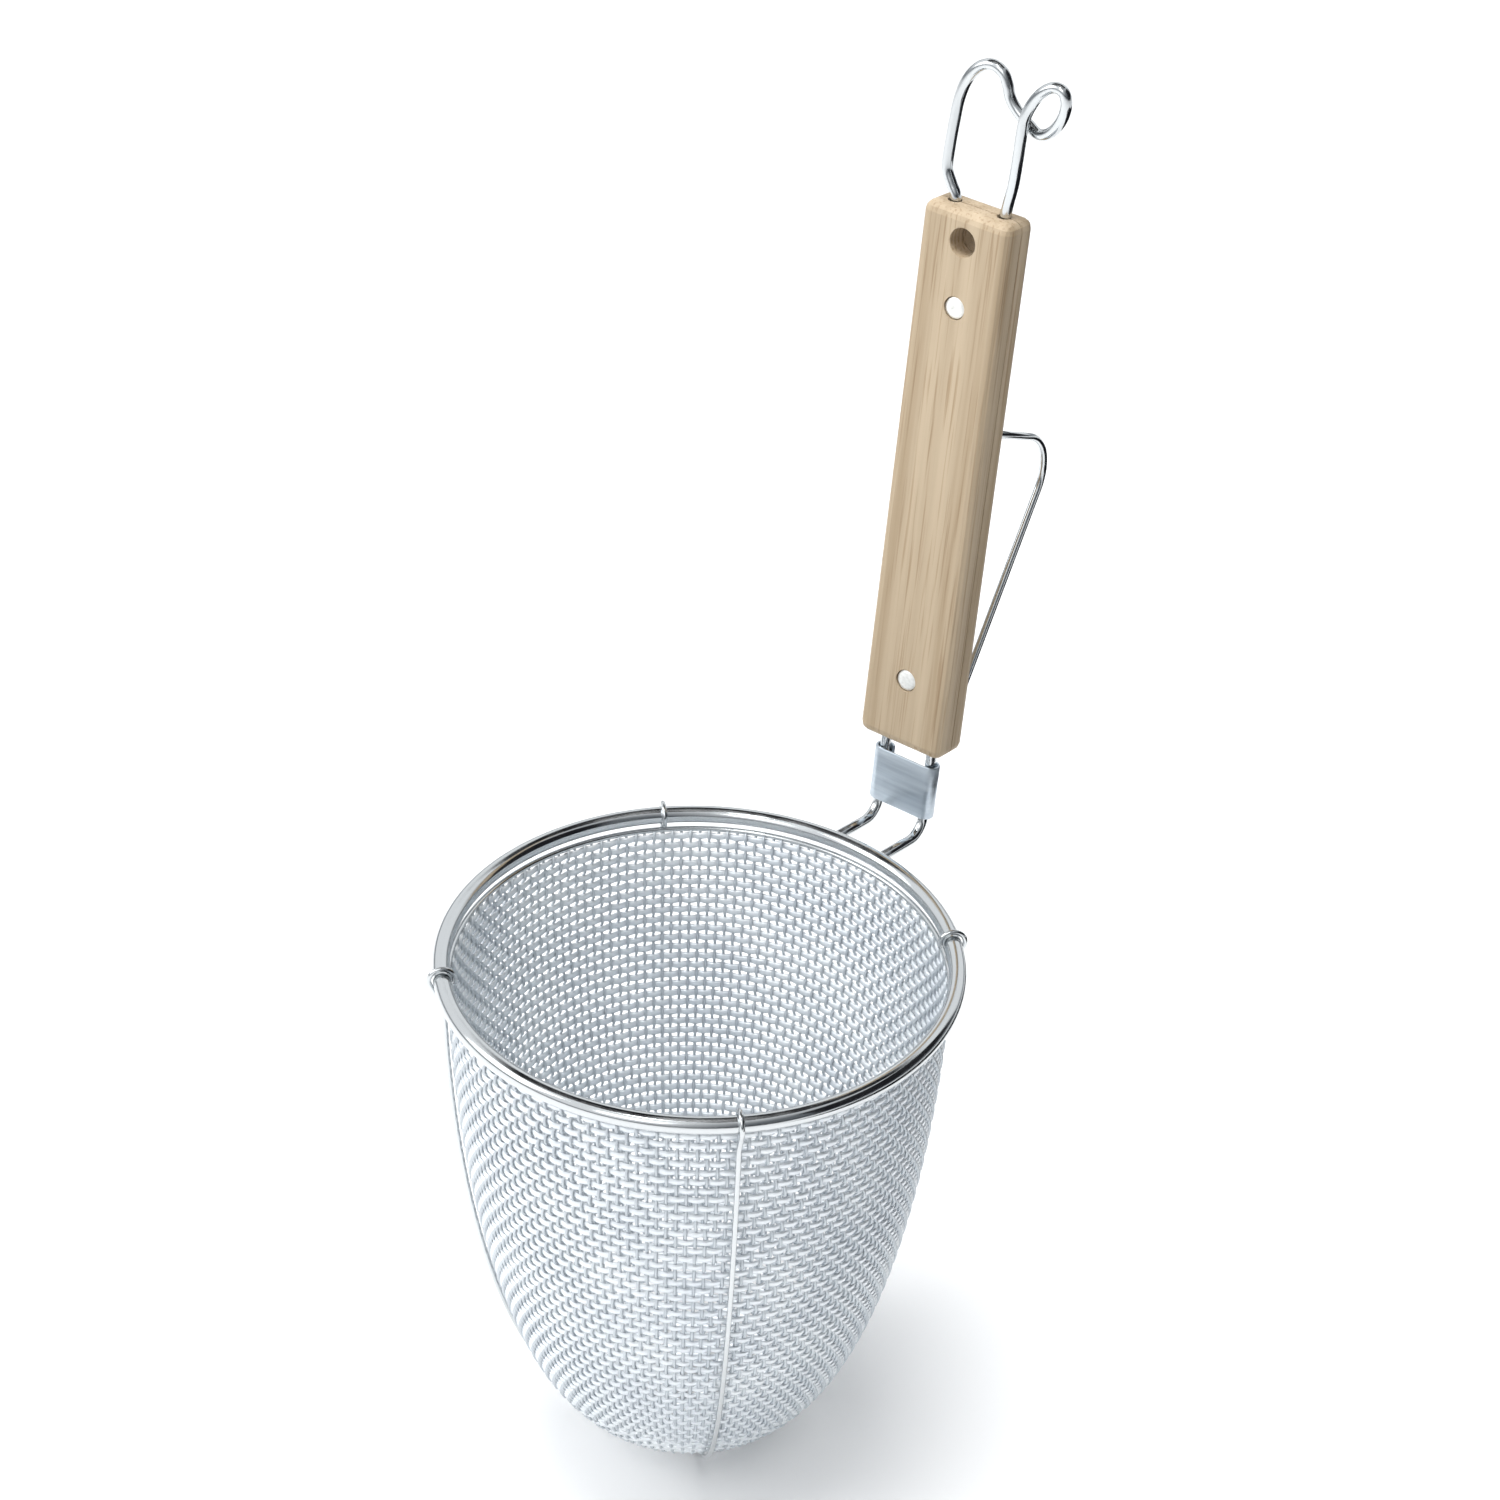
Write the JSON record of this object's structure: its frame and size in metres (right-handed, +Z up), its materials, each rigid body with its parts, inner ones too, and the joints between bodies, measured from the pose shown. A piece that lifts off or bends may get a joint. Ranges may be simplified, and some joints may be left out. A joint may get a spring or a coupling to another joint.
{
  "type": "noodle strainer basket",
  "caption": "Deep wire mesh strainer basket on a round rim, with an upright wooden handle, a wire hanging hook and a sprung rest clip.",
  "frame": {"origin": "under the middle of the object's box, on the level of its lowest wire; the basket's axis is 32.4 mm in front of it", "axes": "+Z up along the basket's axis, +Y from the basket towards the handle, +X to the right for someone who looks from the basket at the handle's front face"},
  "size_m": [0.14, 0.2048, 0.3749],
  "materials": {
    "polished_steel": "bright drawn stainless wire",
    "mesh_steel": "woven stainless wire mesh, bright",
    "satin_steel": "pressed sheet, satin",
    "rivet_metal": "soft bright, lightly worn",
    "wood": "pale bare wood, fine straight grain"
  },
  "bodies": {
    "strainer": {"rim_ring": "polished_steel", "hem_wire": "polished_steel", "mesh_basket": "mesh_steel", "cross_wire_lower": "polished_steel", "cross_wire_upper": "polished_steel", "handle_wire": "polished_steel", "neck_plate": "satin_steel", "handle_front_half": "wood", "handle_back_half": "wood", "rivet_upper": "rivet_metal", "rivet_lower": "rivet_metal", "washer_upper": "rivet_metal", "washer_lower": "rivet_metal"},
    "clip": {"rest_clip": "polished_steel"}
  },
  "joints": [
    {"name": "rest_clip_flex", "type": "hinge", "parent": "strainer", "child": "clip", "pos_m": [0, 0.07568, 0.27367], "axis": [1, 0, 0], "range_deg": [0, 8], "stiffness_Nm_per_rad": 0.4}
  ]
}
